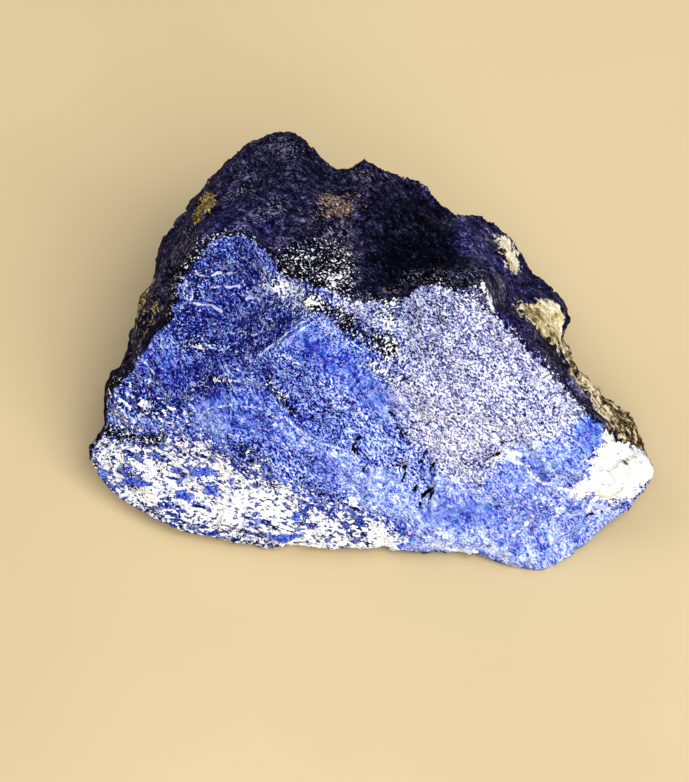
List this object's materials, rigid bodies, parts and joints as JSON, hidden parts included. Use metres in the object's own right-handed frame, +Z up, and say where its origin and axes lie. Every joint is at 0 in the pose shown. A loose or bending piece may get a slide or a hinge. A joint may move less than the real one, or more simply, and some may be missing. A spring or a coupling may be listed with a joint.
{
  "type": "rough lapis lazuli stone",
  "caption": "Rough wedge-shaped chunk of lapis lazuli with a sloping broken face, dark top and sides, a calcite band and corner, resting on its flat underside.",
  "frame": {"origin": "middle of the stone's footprint box, on the flat face that it rests on", "axes": "+X along the stone's length, to the right as the broken face is seen; +Y away from the broken face; +Z up"},
  "size_m": [0.0758, 0.0568, 0.0338],
  "materials": {
    "lapis_rock": "rough broken stone, saturated blue with white calcite grains, a near-black rind and a little brown matrix"
  },
  "bodies": {
    "root": {"lapis_stone": "lapis_rock"}
  },
  "joints": []
}
